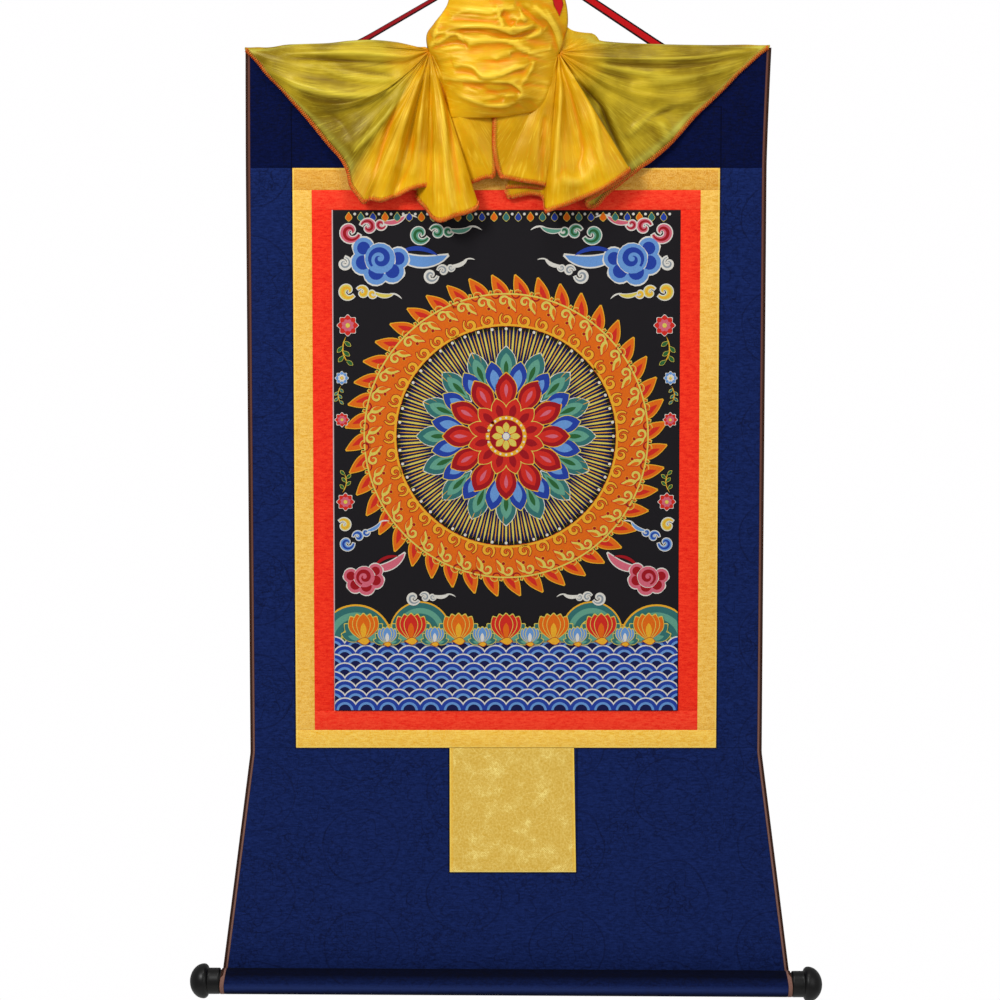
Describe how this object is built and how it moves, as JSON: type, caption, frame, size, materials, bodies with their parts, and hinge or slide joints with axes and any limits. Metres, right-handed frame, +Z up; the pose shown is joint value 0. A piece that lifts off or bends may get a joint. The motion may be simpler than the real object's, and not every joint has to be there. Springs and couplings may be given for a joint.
{
  "type": "thangka scroll painting with hanging rod and roller",
  "caption": "Hanging scroll painting on a brocade mount, with a gathered silk veil, a top stave, a roller with turned knobs and a hanging tape.",
  "frame": {"origin": "the point on the nail where the hanging tape rests", "axes": "+X to the right as the painting is looked at, +Z up, front towards -Y"},
  "size_m": [0.8298, 0.0737, 1.3693],
  "materials": {
    "painting": "woven picture in coloured silk, satin ground",
    "red_brocade": "fine satin brocade",
    "gold_brocade": "fine satin brocade",
    "navy_brocade": "tone-on-tone damask, low sheen",
    "door_brocade": "satin brocade with a coin pattern",
    "binding": "corded edge binding in brown and copper",
    "wood": "plain wood",
    "black_lacquer": "black, soft gloss",
    "tape": "woven tape",
    "yellow_silk": "thin satin silk with an orange stitched edge"
  },
  "bodies": {
    "root": {"painting": "painting", "red_top": "red_brocade", "red_bottom": "red_brocade", "red_left": "red_brocade", "red_right": "red_brocade", "gold_top": "gold_brocade", "gold_bottom": "gold_brocade", "gold_left": "gold_brocade", "gold_right": "gold_brocade", "navy_top": "navy_brocade", "navy_left": "navy_brocade", "navy_right": "navy_brocade", "navy_bottom": "navy_brocade", "door": "door_brocade", "binding_left": "binding", "binding_right": "binding", "stave": "wood", "roller": "wood", "knob_left": "black_lacquer", "knob_right": "black_lacquer", "hanging_tape": "tape", "veil": "yellow_silk", "ribbon": "tape"}
  },
  "joints": []
}
